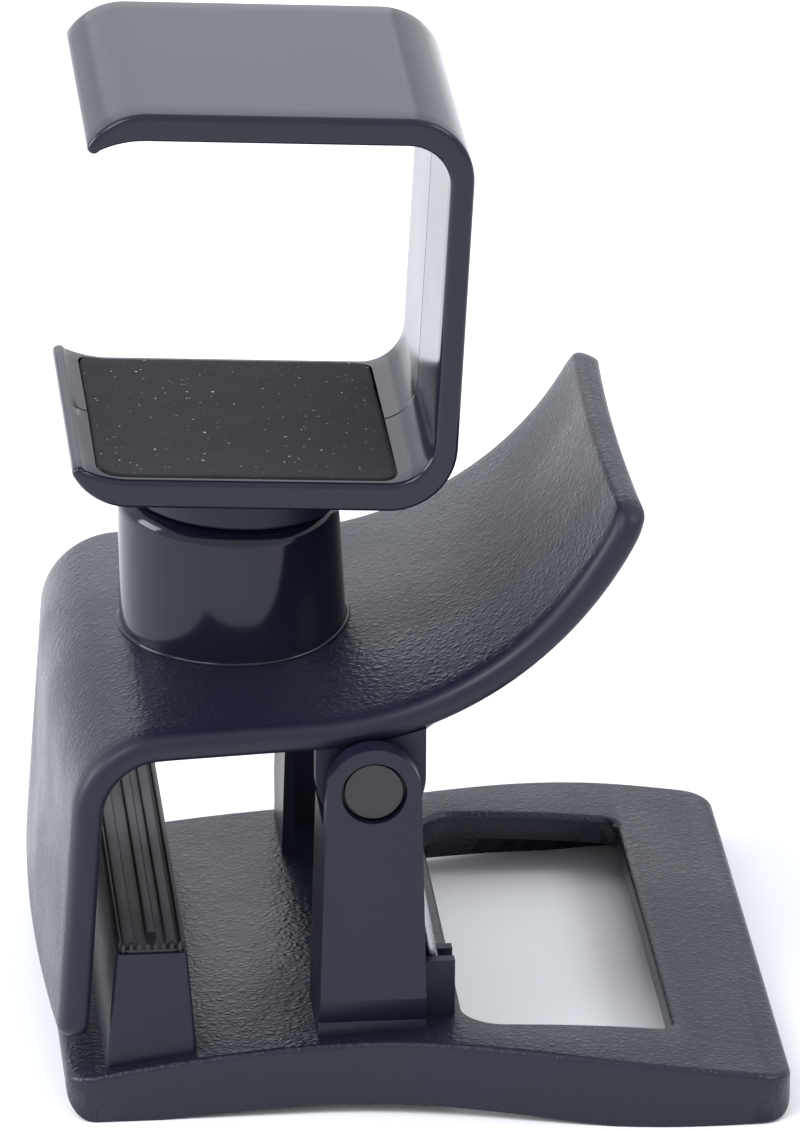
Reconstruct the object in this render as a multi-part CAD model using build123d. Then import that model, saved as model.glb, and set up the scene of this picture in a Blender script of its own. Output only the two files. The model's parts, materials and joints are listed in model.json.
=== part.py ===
"""Spring clamp with a swivelling hook for headphones.

Frame: +Z up, +Y towards the back, +X towards the finger end of the clamp.
The origin is the centre of the footprint, on the surface that the clamp stands on.
All sizes are in millimetres.
"""

from math import acos
from math import atan2
from math import cos
from math import degrees
from math import hypot
from math import pi
from math import radians
from math import sin
from math import sqrt
import os

from build123d import *

# ---------------------------------------------------------------- base plate
BASE_LEFT_X = -51.5
BASE_RIGHT_X = 52.5
BASE_NARROW_HALF = 41.0
BASE_WIDE_HALF = 49.6
BASE_FLARE_START_X = -16.0
BASE_FLARE_END_X = 40.0
BASE_CORNER_R = 4.5
BASE_END_Z = 7.0
BASE_TOE_R = 4.0
BASE_HEEL_R = 2.5
BASE_HEEL_LIFT = 0.5
BASE_CROWN_Z = 11.4
BASE_CROWN_X = 2.0
BASE_FOOT_LEFT_X = -38.0
BASE_FOOT_RIGHT_X = 27.0
BASE_FOOT_LENGTH = 16.0
BASE_ARCH_RISE = 1.6
BASE_EDGE_R = 1.0

# ------------------------------------------------------------------- window
WINDOW_LEFT_X = 6.3
WINDOW_RIGHT_X = 36.6
WINDOW_RAIL = 5.0
WINDOW_CORNER_R = 2.5
WINDOW_HINGE_CORNER_R = 6.0

# ----------------------------------------------------------------- uprights
PIN_X = -7.4
PIN_Z = 50.2
UPRIGHT_SET_IN = 0.6
UPRIGHT_WALL = 3.4
UPRIGHT_TOP_R = 6.8
UPRIGHT_FOOT_HALF = 7.9
UPRIGHT_FOOT_STEP = 2.2
UPRIGHT_FOOT_BAND = 2.0
UPRIGHT_FOOT_SLOPE = 4.4
FLANGE_LEFT_Y = 24.0
FLANGE_RIGHT_DEPTH = 4.0
FLANGE_WALL = 2.0
FLANGE_DROP = 6.6

# ---------------------------------------------------------------- hinge pin
PIN_R = 2.5
PIN_HEAD_R = 4.15
PIN_HEAD_T = 1.4
PIN_HEAD_GAP = 0.55
PIN_HEAD_SUNK = 0.8
PIN_SEAT_CLEAR = 0.02
PIN_RUN_CLEAR = 0.06
RETAINER_GRIP_DEPTH = 0.9

# -------------------------------------------------------------------- lever
LEVER_T = 4.2
LEVER_TOP_Z = 58.8
LEVER_CROWN = 1.8
LEVER_LIP_X = -52.5
LEVER_LIP_END_Z = 12.4
LEVER_BEND_X = -49.25
LEVER_BEND_R = 12.0
LEVER_SWEEP_START_X = -16.5
LEVER_SWEEP_R = 50.0
LEVER_SWEEP_DEG = 67.0
LEVER_LIP_HALF = 40.3
LEVER_SHOULDER_X = -36.5
LEVER_SHOULDER_HALF = 38.2
LEVER_WAIST_X = -16.5
LEVER_MIDDLE_X = 7.0
LEVER_MIDDLE_HALF = 35.3
LEVER_TIP_HALF = 31.6
LEVER_TIP_CORNER_R = 4.0
LEVER_LIP_CORNER_R = 3.0
LEVER_WEB_OVERLAP = 0.5
SIDE_CLEAR = 0.4

# --------------------------------------------------------------------- ears
EAR_R = 7.9
EAR_T = 3.2
EAR_SET_IN = 1.5

# ---------------------------------------------------------------------- jaw
JAW_TOP_Z = 25.4
JAW_TOP_LEFT_X = -44.2
JAW_TOP_RIGHT_X = -34.0
JAW_FOOT_LEFT_X = -46.0
JAW_FOOT_RIGHT_X = -32.4
JAW_SET_IN = 2.4
JAW_EDGE_R = 0.8
JAW_PAD_T = 1.4
JAW_PAD_INSET = 0.35
JAW_RIB_COUNT = 6
JAW_RIB_W = 1.0
JAW_RIB_H = 0.9

# ------------------------------------------------------------------ springs
SPRING_WIRE_R = 0.9
SPRING_BEND_SWELL = 1.1
SPRING_PIN_CLEAR = 0.17
SPRING_TOP_CLEAR = 0.6
SPRING_TURNS = 4
SPRING_PITCH = 2.1
SPRING_EAR_GAP = 0.8
SPRING_LEG_CLEAR = 0.35
SPRING_LEVER_LEG_X = 12.0
SEAT_LENGTH = 4.2
SEAT_PRONG_T = 1.7
SEAT_H = 8.6
SEAT_FLOOR_H = 1.6
SEAT_WIRE_CLEAR = 0.3
SEAT_UPRIGHT_GAP = 0.4

# ------------------------------------------------------------------- turret
TURRET_X = -24.3
TURRET_LEAN_DEG = 2.0
TURRET_FOOT_R = 16.6
TURRET_HEAD_R = 15.9
TURRET_WALL = 2.4
TURRET_SHOULDER_R = 2.4
TURRET_ROOF_T = 3.0

# ------------------------------------------------------------------- swivel
SWIVEL_X = -24.15
SWIVEL_Z = 80.5
SWIVEL_LEAN_DEG = 2.9
SWIVEL_FACE_CLEAR = 0.35
STEM_R = 5.0
STEM_RUN_CLEAR = 0.06
STEM_FACE_CLEAR = 0.35
WASHER_R = 8.6
WASHER_T = 1.2
SCREW_R = 1.6
SCREW_LENGTH = 8.0
SCREW_HEAD_R = 3.4
SCREW_HEAD_T = 2.0
SCREW_SLOT_W = 0.8
SCREW_SLOT_DEPTH = 0.8

# --------------------------------------------------------------------- hook
BOSS_R = 15.5
BOSS_H = 6.65
BOSS_EDGE_R = 0.5
HOOK_DEPTH = 47.5
HOOK_BACK_X = 29.3
HOOK_OPEN_X = -17.2
HOOK_HEIGHT = 59.6
HOOK_FLOOR_T = 4.3
HOOK_ROOF_T = 4.1
HOOK_WALL_T = 3.4
HOOK_CORNER_R = 9.6
HOOK_CURL_R = 9.4
HOOK_CURL_DEG = 60.0
HOOK_TIP_T = 1.9

# --------------------------------------------------------------------- pads
PAD_T = 1.6
PAD_SUNK = 1.1
PAD_MARGIN = 1.6
PAD_FIT_GAP = 0.25
PAD_BACK_X = 21.0
PAD_CURL_DEG = 16.0
PAD_CORNER_R = 2.6

# ------------------------------------------------------- positions that follow
UPRIGHT_OUTER_Y = BASE_NARROW_HALF - UPRIGHT_SET_IN
UPRIGHT_INNER_Y = UPRIGHT_OUTER_Y - UPRIGHT_WALL
LEVER_WAIST_HALF = UPRIGHT_INNER_Y - SIDE_CLEAR
EAR_OUTER_Y = LEVER_WAIST_HALF - EAR_SET_IN
EAR_INNER_Y = EAR_OUTER_Y - EAR_T
LEVER_UNDER_R = LEVER_SWEEP_R + LEVER_T
WINDOW_HALF = BASE_NARROW_HALF - WINDOW_RAIL
JAW_HALF = BASE_NARROW_HALF - JAW_SET_IN
HEAD_SEAT_Y = UPRIGHT_OUTER_Y - PIN_HEAD_SUNK - PIN_HEAD_T
COIL_OUTER_Y = EAR_INNER_Y - SPRING_EAR_GAP - SPRING_WIRE_R
SPRING_COIL_R = PIN_R + SPRING_PIN_CLEAR + SPRING_WIRE_R
SEAT_LEFT_X = PIN_X + UPRIGHT_FOOT_HALF + SEAT_UPRIGHT_GAP
SEAT_GAP = 2 * (SPRING_WIRE_R + SEAT_WIRE_CLEAR)
HOOK_FLOOR_Z = SWIVEL_FACE_CLEAR + BOSS_H
HOOK_TOP_Z = HOOK_FLOOR_Z + HOOK_HEIGHT
FAR = 200.0


def crown_radius():
    """Radius of the base plate's crowned top."""
    half = BASE_RIGHT_X - BASE_CROWN_X
    rise = BASE_CROWN_Z - BASE_END_Z
    return (half * half + rise * rise) / (2 * rise)


def base_top_z(x):
    """Height of the base plate's top at x."""
    r = crown_radius()
    return BASE_CROWN_Z - r + sqrt(r * r - (x - BASE_CROWN_X) ** 2)


def under_lever_z(x, clear):
    """Height at x, a clearance below the underside of the lever's sweep at its edges."""
    reach = LEVER_UNDER_R + clear
    return LEVER_TOP_Z + LEVER_SWEEP_R - sqrt(reach * reach - (x - LEVER_SWEEP_START_X) ** 2)


def section(edges, half_y):
    """A closed outline in XZ, as a solid from -half_y to half_y."""
    return extrude(make_face(Plane.XZ * Curve(edges)), half_y, both=True)


def polygon(points):
    """The closed chain of straight edges through points."""
    ends = points[1:] + points[:1]
    return [Line(a, b) for a, b in zip(points, ends)]


def block(x0, x1, y0, y1, z0, z1):
    """A box between two corners."""
    size = Box(x1 - x0, y1 - y0, z1 - z0)
    return Pos((x0 + x1) / 2, (y0 + y1) / 2, (z0 + z1) / 2) * size


def rod_y(x, z, radius, y0, y1):
    """A cylinder along Y from y0 to y1."""
    rod = Cylinder(radius, y1 - y0, rotation=(90, 0, 0))
    return Pos(x, (y0 + y1) / 2, z) * rod


def rod_between(a, b, radius):
    """A cylinder from point a to point b."""
    axis = Vector(*b) - Vector(*a)
    return Solid.make_cylinder(radius, axis.length, Plane(origin=a, z_dir=axis))


def swivel_frame():
    """The swivel's own frame, with its origin on the turret's top face."""
    return Location((SWIVEL_X, 0, SWIVEL_Z), (0, SWIVEL_LEAN_DEG, 0))


def rear(solid):
    """The same piece on the other side of the clamp."""
    return mirror(solid, about=Plane.XZ)


# --------------------------------------------------------------- base pieces
def base_profile():
    """Side outline of the base plate: crowned on top, arched below."""
    toe = (BASE_LEFT_X, 0)
    toe_end = (BASE_FOOT_LEFT_X, 0)
    arch = ((BASE_FOOT_LEFT_X + BASE_FOOT_RIGHT_X) / 2, BASE_ARCH_RISE)
    heel = (BASE_FOOT_RIGHT_X, 0)
    heel_end = (BASE_FOOT_RIGHT_X + BASE_FOOT_LENGTH, 0)
    right = (BASE_RIGHT_X, BASE_HEEL_LIFT)
    right_top = (BASE_RIGHT_X, base_top_z(BASE_RIGHT_X))
    crown = (BASE_CROWN_X, BASE_CROWN_Z)
    left_top = (BASE_LEFT_X, base_top_z(BASE_LEFT_X))
    edges = [
        Line(toe, toe_end),
        ThreePointArc(toe_end, arch, heel),
        Line(heel, heel_end),
        Line(heel_end, right),
        Line(right, right_top),
        ThreePointArc(right_top, crown, left_top),
        Line(left_top, toe),
    ]
    face = make_face(Curve(edges))
    toe_vertex = face.vertices().sort_by_distance((toe[0], toe[1], 0))[0]
    face = fillet(toe_vertex, BASE_TOE_R)
    heel_vertex = face.vertices().sort_by_distance((right[0], right[1], 0))[0]
    return fillet(heel_vertex, BASE_HEEL_R)


def base_plan():
    """Plan outline of the base plate, flared towards the finger end."""
    start = (BASE_FLARE_START_X, BASE_NARROW_HALF)
    end = (BASE_FLARE_END_X, BASE_WIDE_HALF)
    left = (BASE_LEFT_X, BASE_NARROW_HALF)
    right = (BASE_RIGHT_X, BASE_WIDE_HALF)
    flare = Spline(start, end, tangents=((1, 0), (1, 0)))
    half = [Line(left, start), flare, Line(end, right)]
    low_half = [mirror(edge, about=Plane.XZ) for edge in half]
    ends = [
        Line((left[0], -left[1]), left),
        Line((right[0], -right[1]), right),
    ]
    face = make_face(Curve(half + low_half + ends))
    corners = face.vertices().filter_by(
        lambda v: min(abs(v.X - BASE_LEFT_X), abs(v.X - BASE_RIGHT_X)) < 0.01
    )
    return fillet(corners, BASE_CORNER_R)


def window_plan():
    """Plan outline of the base plate's window."""
    points = [
        (WINDOW_LEFT_X, -WINDOW_HALF),
        (WINDOW_RIGHT_X, -WINDOW_HALF),
        (WINDOW_RIGHT_X, WINDOW_HALF),
        (WINDOW_LEFT_X, WINDOW_HALF),
    ]
    face = make_face(Curve(polygon(points)))
    hinge_side = face.vertices().filter_by(lambda v: v.X < WINDOW_LEFT_X + 0.01)
    face = fillet(hinge_side, WINDOW_HINGE_CORNER_R)
    finger_side = face.vertices().filter_by(lambda v: v.X > WINDOW_RIGHT_X - 0.01)
    return fillet(finger_side, WINDOW_CORNER_R)


def base_plate():
    """The lower lever, with its window and rounded upper edges."""
    body = extrude(Plane.XZ * base_profile(), FAR, both=True)
    body = body & extrude(base_plan(), FAR, both=True)
    body = body - extrude(window_plan(), FAR, both=True)
    top = body.faces().filter_by(lambda f: f.normal_at().Z > 0.7)
    top = top.sort_by(SortBy.AREA)[-1]
    return fillet(top.edges(), BASE_EDGE_R).solid()


def upright(base):
    """The front upright: a tapered wall with a round head, two flanges and a stepped foot."""
    floor = base_top_z(PIN_X) - 3.0
    left = PIN_X - UPRIGHT_FOOT_HALF
    right = PIN_X + UPRIGHT_FOOT_HALF
    head_left = (PIN_X - UPRIGHT_TOP_R, PIN_Z)
    head_right = (PIN_X + UPRIGHT_TOP_R, PIN_Z)
    outline = [
        Line((left, floor), (right, floor)),
        Line((right, floor), head_right),
        ThreePointArc(head_right, (PIN_X, PIN_Z + UPRIGHT_TOP_R), head_left),
        Line(head_left, (left, floor)),
    ]
    shape = section(outline, FAR)
    band_top = base_top_z(PIN_X) + UPRIGHT_FOOT_BAND
    slope_top = band_top + UPRIGHT_FOOT_SLOPE
    foot_y = UPRIGHT_OUTER_Y - UPRIGHT_FOOT_STEP
    wall = [
        (-UPRIGHT_INNER_Y, floor),
        (-foot_y, floor),
        (-foot_y, band_top),
        (-UPRIGHT_OUTER_Y, slope_top),
        (-UPRIGHT_OUTER_Y, PIN_Z + FAR),
        (-UPRIGHT_INNER_Y, PIN_Z + FAR),
    ]
    wall = extrude(make_face(Plane.YZ * Curve(polygon(wall))), FAR, both=True)
    flange_y = -UPRIGHT_INNER_Y + FLANGE_RIGHT_DEPTH
    flange_z = PIN_Z - FLANGE_DROP
    left_flange = block(
        left, left + FLANGE_WALL, -UPRIGHT_INNER_Y, -FLANGE_LEFT_Y, floor, flange_z
    )
    right_flange = block(
        right - FLANGE_WALL, right, -UPRIGHT_INNER_Y, flange_y, floor, flange_z
    )
    solid = shape & (wall + left_flange + right_flange)
    solid = solid - rod_y(PIN_X, PIN_Z, PIN_R + PIN_SEAT_CLEAR, -FAR, FAR)
    recess_r = PIN_HEAD_R + PIN_HEAD_GAP
    solid = solid - rod_y(PIN_X, PIN_Z, recess_r, -FAR, -HEAD_SEAT_Y)
    return (solid - base).solid()


def jaw_block(base):
    """The block that carries the lower jaw's grip pad."""
    floor = min(base_top_z(JAW_FOOT_LEFT_X), base_top_z(JAW_FOOT_RIGHT_X)) - 1.0
    outline = [
        (JAW_FOOT_LEFT_X, floor),
        (JAW_FOOT_RIGHT_X, floor),
        (JAW_TOP_RIGHT_X, JAW_TOP_Z),
        (JAW_TOP_LEFT_X, JAW_TOP_Z),
    ]
    solid = section(polygon(outline), JAW_HALF)
    uprights = solid.edges().filter_by(lambda e: abs(e.center().Y) > JAW_HALF - 0.01)
    sides = uprights.filter_by(lambda e: abs(e.tangent_at(0.5).Z) > 0.7)
    return (fillet(sides, JAW_EDGE_R) - base).solid()


def jaw_pad():
    """The ribbed grip strip on the lower jaw, with ribs along Y."""
    x0 = JAW_TOP_LEFT_X + JAW_PAD_INSET
    x1 = JAW_TOP_RIGHT_X - JAW_PAD_INSET
    half = JAW_HALF - JAW_PAD_INSET
    web_top = JAW_TOP_Z + JAW_PAD_T - JAW_RIB_H
    pad = block(x0, x1, -half, half, JAW_TOP_Z, web_top)
    pitch = (x1 - x0 - JAW_RIB_W) / (JAW_RIB_COUNT - 1)
    for i in range(JAW_RIB_COUNT):
        rib_x = x0 + i * pitch
        rib_top = JAW_TOP_Z + JAW_PAD_T
        pad = pad + block(rib_x, rib_x + JAW_RIB_W, -half, half, JAW_TOP_Z, rib_top)
    return pad.solid()


def spring_seat(base):
    """Two prongs on the base plate that hold a spring's lower leg."""
    floor = base_top_z(PIN_X) - 3.0
    x1 = SEAT_LEFT_X + SEAT_LENGTH
    half = SEAT_GAP / 2 + SEAT_PRONG_T
    top = base_top_z(SEAT_LEFT_X) + SEAT_H
    seat = block(SEAT_LEFT_X, x1, -COIL_OUTER_Y - half, -COIL_OUTER_Y + half, floor, top)
    slot_z = base_top_z(x1) + SEAT_FLOOR_H
    slot_half = SEAT_GAP / 2
    slot = block(-FAR, FAR, -COIL_OUTER_Y - slot_half, -COIL_OUTER_Y + slot_half, slot_z, FAR)
    return (seat - slot - base).solid()


def hinge_pin():
    """The pin through both uprights and both ears, with its flat head in front."""
    end_y = HEAD_SEAT_Y + RETAINER_GRIP_DEPTH
    shaft = rod_y(PIN_X, PIN_Z, PIN_R, -HEAD_SEAT_Y, end_y)
    head = rod_y(PIN_X, PIN_Z, PIN_HEAD_R, -HEAD_SEAT_Y - PIN_HEAD_T, -HEAD_SEAT_Y)
    return (shaft + head).solid()


def pin_retainer():
    """The press-on cap at the pin's rear end."""
    cap = rod_y(PIN_X, PIN_Z, PIN_HEAD_R, HEAD_SEAT_Y, HEAD_SEAT_Y + PIN_HEAD_T)
    grip = rod_y(PIN_X, PIN_Z, PIN_R, HEAD_SEAT_Y, HEAD_SEAT_Y + RETAINER_GRIP_DEPTH)
    return (cap - grip).solid()


def tangent_angle(x, z):
    """Angle on the coil where a straight leg from the point (x, z) touches it."""
    dx = x - PIN_X
    dz = z - PIN_Z
    return atan2(dz, dx) + acos(SPRING_COIL_R / hypot(dx, dz))


def lever_leg_end():
    """Where the spring's upper leg ends, just under the lever plate."""
    x = SPRING_LEVER_LEG_X
    return (x, under_lever_z(x, SPRING_WIRE_R + SPRING_LEG_CLEAR))


def seat_leg_end():
    """Where the spring's lower leg ends, between the prongs of its seat."""
    z = base_top_z(SEAT_LEFT_X) + SEAT_FLOOR_H + SPRING_WIRE_R + SEAT_WIRE_CLEAR
    return (SEAT_LEFT_X + SEAT_LENGTH / 2, z)


def coil_turn():
    """The angles at which the coil meets its lower and upper legs, and its height."""
    lever_x, lever_z = lever_leg_end()
    start = tangent_angle(*seat_leg_end())
    end = tangent_angle(lever_x, lever_z) - 2 * acos(
        SPRING_COIL_R / hypot(lever_x - PIN_X, lever_z - PIN_Z)
    )
    turn = (end - start) % (2 * pi)
    return start, end, SPRING_PITCH * (SPRING_TURNS - 1 + turn / (2 * pi))


def spring_room():
    """The space under the lever that the front spring keeps to itself."""
    _, end, height = coil_turn()
    lever_x, lever_z = lever_leg_end()
    last_y = height - COIL_OUTER_Y
    side = SPRING_WIRE_R + SPRING_TOP_CLEAR
    reach = SPRING_COIL_R + side
    room = rod_y(PIN_X, PIN_Z, reach, -COIL_OUTER_Y - side, last_y + side)
    leg_x = PIN_X + SPRING_COIL_R * cos(end)
    leg_z = PIN_Z + SPRING_COIL_R * sin(end)
    leg_r = SPRING_WIRE_R + SPRING_LEG_CLEAR
    return room + rod_between((leg_x, last_y, leg_z), (lever_x, last_y, lever_z), leg_r)


def spring():
    """The front torsion spring: a coil about the pin with two straight legs."""
    foot_x, foot_z = seat_leg_end()
    lever_x, lever_z = lever_leg_end()
    start, _, height = coil_turn()
    frame = Plane(
        origin=(PIN_X, -COIL_OUTER_Y, PIN_Z),
        x_dir=(cos(start), 0, sin(start)),
        z_dir=(0, 1, 0),
    )
    helix = frame.location * Helix(SPRING_PITCH, height, SPRING_COIL_R, lefthand=True)
    wire_section = Plane(origin=helix @ 0, z_dir=helix % 0) * Circle(SPRING_WIRE_R)
    coil = sweep(wire_section, path=helix, is_frenet=True)
    first = helix @ 0
    last = helix @ 1
    foot = (foot_x, first.Y, foot_z)
    tip = (lever_x, last.Y, lever_z)
    bend = Sphere(SPRING_WIRE_R * SPRING_BEND_SWELL)
    solid = coil + Pos(*first) * bend + Pos(*last) * bend
    solid = solid + rod_between(first, foot, SPRING_WIRE_R)
    return (solid + rod_between(last, tip, SPRING_WIRE_R)).solid()


# -------------------------------------------------------------- lever pieces
def sweep_point(radius, degrees):
    """A point on the lever's finger sweep, at an angle from its start."""
    angle = radians(degrees)
    x = LEVER_SWEEP_START_X + radius * sin(angle)
    return (x, LEVER_TOP_Z + LEVER_SWEEP_R - radius * cos(angle))


def lever_path():
    """The lever's outer surface along its two long edges: lip, bend, flat and sweep."""
    flat = FilletPolyline(
        (LEVER_LIP_X, LEVER_LIP_END_Z),
        (LEVER_BEND_X, LEVER_TOP_Z),
        (LEVER_SWEEP_START_X, LEVER_TOP_Z),
        radius=LEVER_BEND_R,
    )
    rise = ThreePointArc(
        flat @ 1,
        sweep_point(LEVER_SWEEP_R, LEVER_SWEEP_DEG / 2),
        sweep_point(LEVER_SWEEP_R, LEVER_SWEEP_DEG),
    )
    return Wire((Plane.XZ * Curve([flat, rise])).edges())


def lever_section(path):
    """The lever's cross-section at the lip's end, crowned over its width."""
    crown_r = (LEVER_LIP_HALF**2 + LEVER_CROWN**2) / (2 * LEVER_CROWN)
    half = LEVER_LIP_HALF + LEVER_T
    edge = LEVER_CROWN - crown_r + sqrt(crown_r * crown_r - half * half)
    edges = [
        ThreePointArc((-half, edge), (0, LEVER_CROWN), (half, edge)),
        Line((half, edge), (half, edge - LEVER_T)),
        ThreePointArc(
            (half, edge - LEVER_T), (0, LEVER_CROWN - LEVER_T), (-half, edge - LEVER_T)
        ),
        Line((-half, edge - LEVER_T), (-half, edge)),
    ]
    plane = Plane(origin=path @ 0, x_dir=(0, 1, 0), z_dir=path % 0)
    return plane * make_face(Curve(edges))


def lever_plan():
    """Plan outline of the lever: widest at the lip, waisted between the uprights."""
    tip_x = sweep_point(LEVER_SWEEP_R + LEVER_T, LEVER_SWEEP_DEG)[0] + 1.0
    lip_x = LEVER_LIP_X - 2 * LEVER_CROWN
    lip = (lip_x, LEVER_LIP_HALF)
    taper = (LEVER_LIP_X, LEVER_LIP_HALF)
    shoulder = (LEVER_SHOULDER_X, LEVER_SHOULDER_HALF)
    waist = (LEVER_WAIST_X, LEVER_WAIST_HALF)
    middle = (LEVER_MIDDLE_X, LEVER_MIDDLE_HALF)
    tip = (tip_x, LEVER_TIP_HALF)
    half = [
        Line(lip, taper),
        Line(taper, shoulder),
        Line(shoulder, waist),
        ThreePointArc(waist, middle, tip),
    ]
    low_half = [mirror(edge, about=Plane.XZ) for edge in half]
    ends = [Line((lip[0], -lip[1]), lip), Line((tip[0], -tip[1]), tip)]
    return make_face(Curve(half + low_half + ends))


def lever_plate():
    """The upper lever, crowned over its width, with rounded corners at both ends."""
    path = lever_path()
    body = sweep(lever_section(path), path=path)
    body = (body & extrude(lever_plan(), FAR, both=True)).solid()
    through = body.edges().filter_by(
        lambda e: e.length < 1.1 * LEVER_T and abs(e.tangent_at(0.5).Y) < 0.5
    )
    tip_corners = through.sort_by(Axis.X)[-2:]
    lip_corners = through.sort_by(Axis.Z)[:2]
    body = fillet(tip_corners, LEVER_TIP_CORNER_R)
    body = body.fillet(LEVER_LIP_CORNER_R, lip_corners).solid()
    room = spring_room()
    return (body - room - rear(room)).solid()


def ear():
    """The front ear, bored for the pin, before the lever is cut out of its top."""
    web_top = LEVER_TOP_Z - LEVER_WEB_OVERLAP
    web = block(PIN_X - EAR_R, PIN_X + EAR_R, -EAR_OUTER_Y, -EAR_INNER_Y, PIN_Z, web_top)
    solid = web + rod_y(PIN_X, PIN_Z, EAR_R, -EAR_OUTER_Y, -EAR_INNER_Y)
    return solid - rod_y(PIN_X, PIN_Z, PIN_R + PIN_RUN_CLEAR, -FAR, FAR)


def turret_cup(lever):
    """The hollow turret on the lever, faced square to the swivel's axis on top."""
    drop = (LEVER_T - LEVER_CROWN) / 2
    height = SWIVEL_Z - LEVER_TOP_Z + LEVER_T
    frame = Location((TURRET_X, 0, LEVER_TOP_Z - drop), (0, -TURRET_LEAN_DEG, 0))
    up = (Align.CENTER, Align.CENTER, Align.MIN)
    outer = frame * Cone(TURRET_FOOT_R, TURRET_HEAD_R, height, align=up)
    cavity = frame * Cone(
        TURRET_FOOT_R - TURRET_WALL,
        TURRET_HEAD_R - TURRET_WALL,
        height,
        align=up,
    )
    above = swivel_frame() * block(-FAR, FAR, -FAR, FAR, 0, FAR)
    roof = swivel_frame() * block(-FAR, FAR, -FAR, FAR, -TURRET_ROOF_T, FAR)
    outer = (outer - above).solid()
    rim = outer.faces().sort_by(Axis.Z)[-1].edges()
    outer = fillet(rim, TURRET_SHOULDER_R)
    bore = swivel_frame() * Cylinder(STEM_R + STEM_RUN_CLEAR, 4 * TURRET_ROOF_T)
    return (outer - (cavity - roof) - bore - lever).solid()


# --------------------------------------------------------------- hook pieces
def hook_boss():
    """The round boss under the hook, with the stem that turns in the turret."""
    up = (Align.CENTER, Align.CENTER, Align.MIN)
    boss = Pos(0, 0, SWIVEL_FACE_CLEAR) * Cylinder(BOSS_R, BOSS_H, align=up)
    foot = boss.edges().filter_by(GeomType.CIRCLE).sort_by(Axis.Z)[0]
    boss = fillet(foot, BOSS_EDGE_R)
    stem_end = -TURRET_ROOF_T - STEM_FACE_CLEAR
    stem_h = SWIVEL_FACE_CLEAR + 1.0 - stem_end
    stem = Pos(0, 0, stem_end) * Cylinder(STEM_R, stem_h, align=up)
    pilot = Pos(0, 0, stem_end) * Cylinder(SCREW_R, SCREW_LENGTH - WASHER_T, align=up)
    return swivel_frame() * (boss + stem - pilot).solid()


def washer():
    """The washer that holds the stem under the turret's roof."""
    top = -TURRET_ROOF_T - STEM_FACE_CLEAR
    ring = Cylinder(WASHER_R, WASHER_T) - Cylinder(SCREW_R, WASHER_T)
    return swivel_frame() * (Pos(0, 0, top - WASHER_T / 2) * ring).solid()


def screw():
    """The slotted pan-head screw up the middle of the stem."""
    under = -TURRET_ROOF_T - STEM_FACE_CLEAR - WASHER_T
    up = (Align.CENTER, Align.CENTER, Align.MIN)
    shank = Pos(0, 0, under) * Cylinder(SCREW_R, SCREW_LENGTH, align=up)
    head = Pos(0, 0, under - SCREW_HEAD_T) * Cylinder(SCREW_HEAD_R, SCREW_HEAD_T, align=up)
    slot = Pos(0, 0, under - SCREW_HEAD_T) * Box(
        3 * SCREW_HEAD_R, SCREW_SLOT_W, 2 * SCREW_SLOT_DEPTH
    )
    return swivel_frame() * (shank + head - slot).solid()


def corner_face(x0, x1, z0, z1, radius):
    """A rectangle in (x, z) whose two corners at x1 are rounded."""
    face = make_face(Curve(polygon([(x0, z0), (x1, z0), (x1, z1), (x0, z1)])))
    corners = face.vertices().filter_by(lambda v: v.X > x1 - 0.01)
    return fillet(corners, radius)


def curl_point(radius, degrees, side):
    """A point of the curled tip; side is 1 for the floor's tip and -1 for the roof's."""
    angle = radians(degrees)
    edge_z = HOOK_FLOOR_Z if side > 0 else HOOK_TOP_Z
    x = HOOK_OPEN_X - radius * sin(angle)
    return (x, edge_z + side * (HOOK_CURL_R - radius * cos(angle)))


def lining_radius(thickness, side):
    """Radius of a curl's inner face, which starts flush with the arm's inner face."""
    start = curl_point(HOOK_CURL_R - thickness, 0, side)
    end = curl_point(HOOK_CURL_R - HOOK_TIP_T, HOOK_CURL_DEG, side)
    run = start[0] - end[0]
    rise = abs(end[1] - start[1])
    return (run * run + rise * rise) / (2 * rise)


def lining_point(thickness, side, turn, depth):
    """A point at a depth below a curl's inner face, at an angle in degrees from its start."""
    radius = lining_radius(thickness, side)
    start = curl_point(HOOK_CURL_R - thickness, 0, side)
    reach = radius + depth
    angle = radians(turn)
    return (start[0] - reach * sin(angle), start[1] + side * (radius - reach * cos(angle)))


def lining_arc(thickness, side, turn, depth):
    """An arc at a depth below a curl's inner face, from its start to an angle."""
    points = [lining_point(thickness, side, part * turn, depth) for part in (0, 0.5, 1)]
    return ThreePointArc(*points)


def curled_tip(thickness, side):
    """The tip of one arm, curled inwards and thinned towards its end."""
    outer = ThreePointArc(
        curl_point(HOOK_CURL_R, 0, side),
        curl_point(HOOK_CURL_R, HOOK_CURL_DEG / 2, side),
        curl_point(HOOK_CURL_R, HOOK_CURL_DEG, side),
    )
    start = curl_point(HOOK_CURL_R - thickness, 0, side)
    inner_end = curl_point(HOOK_CURL_R - HOOK_TIP_T, HOOK_CURL_DEG, side)
    full_turn = degrees(2 * atan2(abs(inner_end[1] - start[1]), start[0] - inner_end[0]))
    inner = lining_arc(thickness, side, full_turn, 0)
    turn = radians(HOOK_CURL_DEG)
    centre = curl_point(HOOK_CURL_R - HOOK_TIP_T / 2, HOOK_CURL_DEG, side)
    nose = (
        centre[0] - HOOK_TIP_T / 2 * cos(turn),
        centre[1] + side * HOOK_TIP_T / 2 * sin(turn),
    )
    end = ThreePointArc(outer @ 1, nose, inner @ 1)
    return make_face(Curve([outer, end, inner, Line(inner @ 0, outer @ 0)]))


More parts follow.
